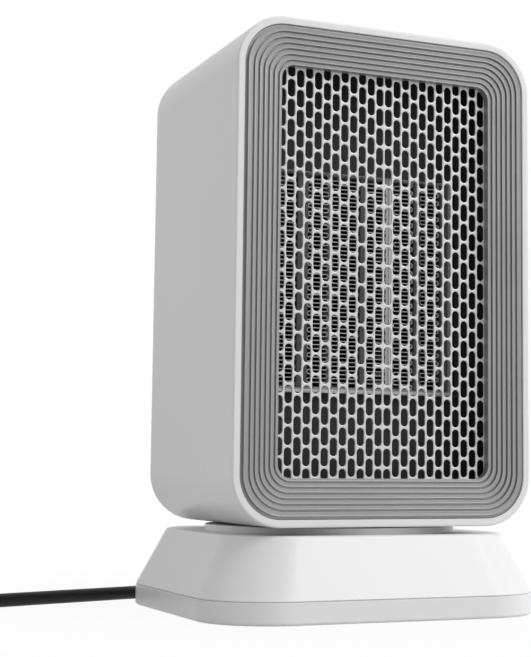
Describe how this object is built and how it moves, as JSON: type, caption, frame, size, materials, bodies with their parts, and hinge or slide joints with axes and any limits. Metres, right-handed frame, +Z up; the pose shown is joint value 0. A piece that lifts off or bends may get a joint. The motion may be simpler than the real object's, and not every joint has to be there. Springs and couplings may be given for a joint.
{
  "type": "ceramic space heater",
  "caption": "Tabletop ceramic fan heater: a rounded upright head with a slotted grille that swings on a low sloped base.",
  "frame": {"origin": "on the floor under the middle of the base, without the mains lead", "axes": "+Z up, +X to the right seen from the front, the outlet grille faces -Y"},
  "size_m": [0.3068, 0.2014, 0.2563],
  "materials": {
    "white_housing": "satin moulded white",
    "silver_trim": "satin silver-grey paint on moulded plastic",
    "silver_grille": "satin silver-grey paint",
    "black_rubber": "matt moulded",
    "screw_steel": "zinc plated",
    "bearing_plastic": "natural acetal",
    "gear_plastic": "natural acetal",
    "motor_steel": "zinc plated",
    "shaft_steel": "ground",
    "carrier_black": "moulded, heat resistant",
    "rotor_black": "moulded",
    "cord_black": "smooth flexible sheath",
    "blade_brass": "plain",
    "core_metal": "pressed sheet",
    "bar_aluminium": "extruded",
    "ceramic_bright": "bright tube over ceramic stones",
    "fin_aluminium": "folded foil",
    "panel_silver": "satin silver-grey",
    "button_white": "satin moulded white",
    "lamp_red": "translucent red",
    "board_green": "solder resist",
    "relay_blue": "moulded"
  },
  "bodies": {
    "base": {"base_shell": "white_housing", "base_tray": "white_housing", "rubber_feet": "black_rubber", "base_screws": "screw_steel", "turntable_disc": "white_housing", "pivot_bush": "bearing_plastic", "slip_ring": "bearing_plastic", "swing_motor": "motor_steel", "swing_motor_screws": "screw_steel", "tip_switch": "carrier_black", "cord_relief": "cord_black", "cord_tube": "cord_black", "cord_coil": "cord_black", "plug": "cord_black", "plug_blades": "blade_brass"},
    "head": {"head_shell": "white_housing", "front_bezel": "silver_trim", "front_grille": "silver_grille", "rear_cover": "white_housing", "rear_cover_screws": "screw_steel", "heater_carrier": "carrier_black", "core_frame": "core_metal", "electrode_bars": "bar_aluminium", "ceramic_bars": "ceramic_bright", "fin_packs": "fin_aluminium", "thermal_cutout": "motor_steel", "fan_shroud": "carrier_black", "fan_motor": "motor_steel", "motor_bracket": "carrier_black", "control_panel": "panel_silver", "lamp_lenses": "lamp_red", "control_board": "board_green", "board_switches": "carrier_black", "power_board": "board_green", "board_parts": "relay_blue", "spindle": "bearing_plastic", "spindle_screws": "screw_steel", "swing_gear": "gear_plastic", "gear_clip": "shaft_steel"},
    "fan": {"impeller": "rotor_black", "fan_shaft": "shaft_steel"},
    "drive": {"swing_pinion": "gear_plastic", "swing_shaft": "shaft_steel"},
    "power_button": {"power_button": "button_white"},
    "heat_button": {"heat_button": "button_white"},
    "swing_button": {"swing_button": "button_white"},
    "tip_plunger": {"tip_plunger": "gear_plastic"}
  },
  "joints": [
    {"name": "head_swing", "type": "hinge", "parent": "base", "child": "head", "pos_m": [0, 0, 0.039], "axis": [0, 0, 1], "range_deg": [-35, 35]},
    {"name": "pinion_spin", "type": "hinge", "parent": "base", "child": "drive", "pos_m": [0, 0.032, 0.025], "axis": [0, 0, 1], "range_deg": [-105.5, 105.5]},
    {"name": "fan_spin", "type": "hinge", "parent": "head", "child": "fan", "pos_m": [0, 0, 0.14714], "axis": [0, -1, 0], "continuous": true},
    {"name": "power_press", "type": "slide", "parent": "head", "child": "power_button", "axis": [0, 0, -1], "range_m": [0, 0.0009], "stiffness_N_per_m": 600, "springref_m": -0.0008},
    {"name": "heat_press", "type": "slide", "parent": "head", "child": "heat_button", "axis": [0, 0, -1], "range_m": [0, 0.0009], "stiffness_N_per_m": 600, "springref_m": -0.0008},
    {"name": "swing_press", "type": "slide", "parent": "head", "child": "swing_button", "axis": [0, 0, -1], "range_m": [0, 0.0009], "stiffness_N_per_m": 600, "springref_m": -0.0008},
    {"name": "tip_plunger_drop", "type": "slide", "parent": "base", "child": "tip_plunger", "axis": [0, 0, -1], "range_m": [0, 0.004], "stiffness_N_per_m": 40, "springref_m": 0.006}
  ],
  "couplings": [
    {"joint": "pinion_spin", "follows": "head_swing", "ratio": -3}
  ]
}
